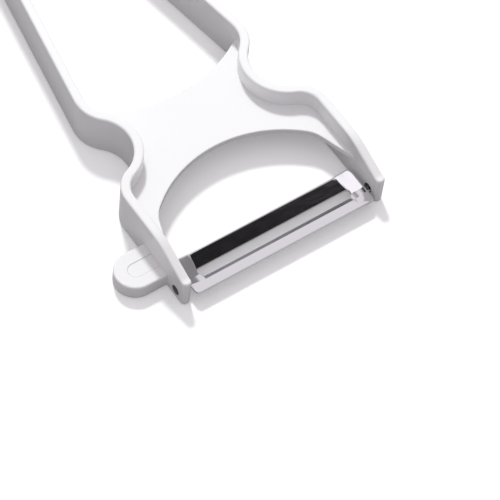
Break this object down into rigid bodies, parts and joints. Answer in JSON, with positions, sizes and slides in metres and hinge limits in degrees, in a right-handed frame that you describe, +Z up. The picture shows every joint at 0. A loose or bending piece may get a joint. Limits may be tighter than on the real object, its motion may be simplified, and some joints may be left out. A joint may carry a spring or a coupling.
{
  "type": "vegetable peeler",
  "caption": "Y-shaped hand peeler: glossy moulded frame with an open grip loop, a web, a fork and an eye-remover tab, and a slotted steel blade that swings in the arm tips.",
  "frame": {"origin": "on the rest plane, under the middle of the whole part's box", "axes": "+X along the blade's pivot axis, away from the eye remover; +Y from the blade towards the grip's end; +Z up, square to the web"},
  "size_m": [0.071, 0.1224, 0.013],
  "materials": {
    "frame_plastic": "smooth glossy white moulding",
    "blade_steel": "polished stamped sheet with a ground bevel"
  },
  "bodies": {
    "frame": {"moulded_frame": "frame_plastic"},
    "blade": {"swivel_blade": "blade_steel"}
  },
  "joints": [
    {"name": "blade_swivel", "type": "hinge", "parent": "frame", "child": "blade", "pos_m": [0.00555, -0.05681, 0.0028], "axis": [1, 0, 0], "range_deg": [-35, 35]}
  ]
}
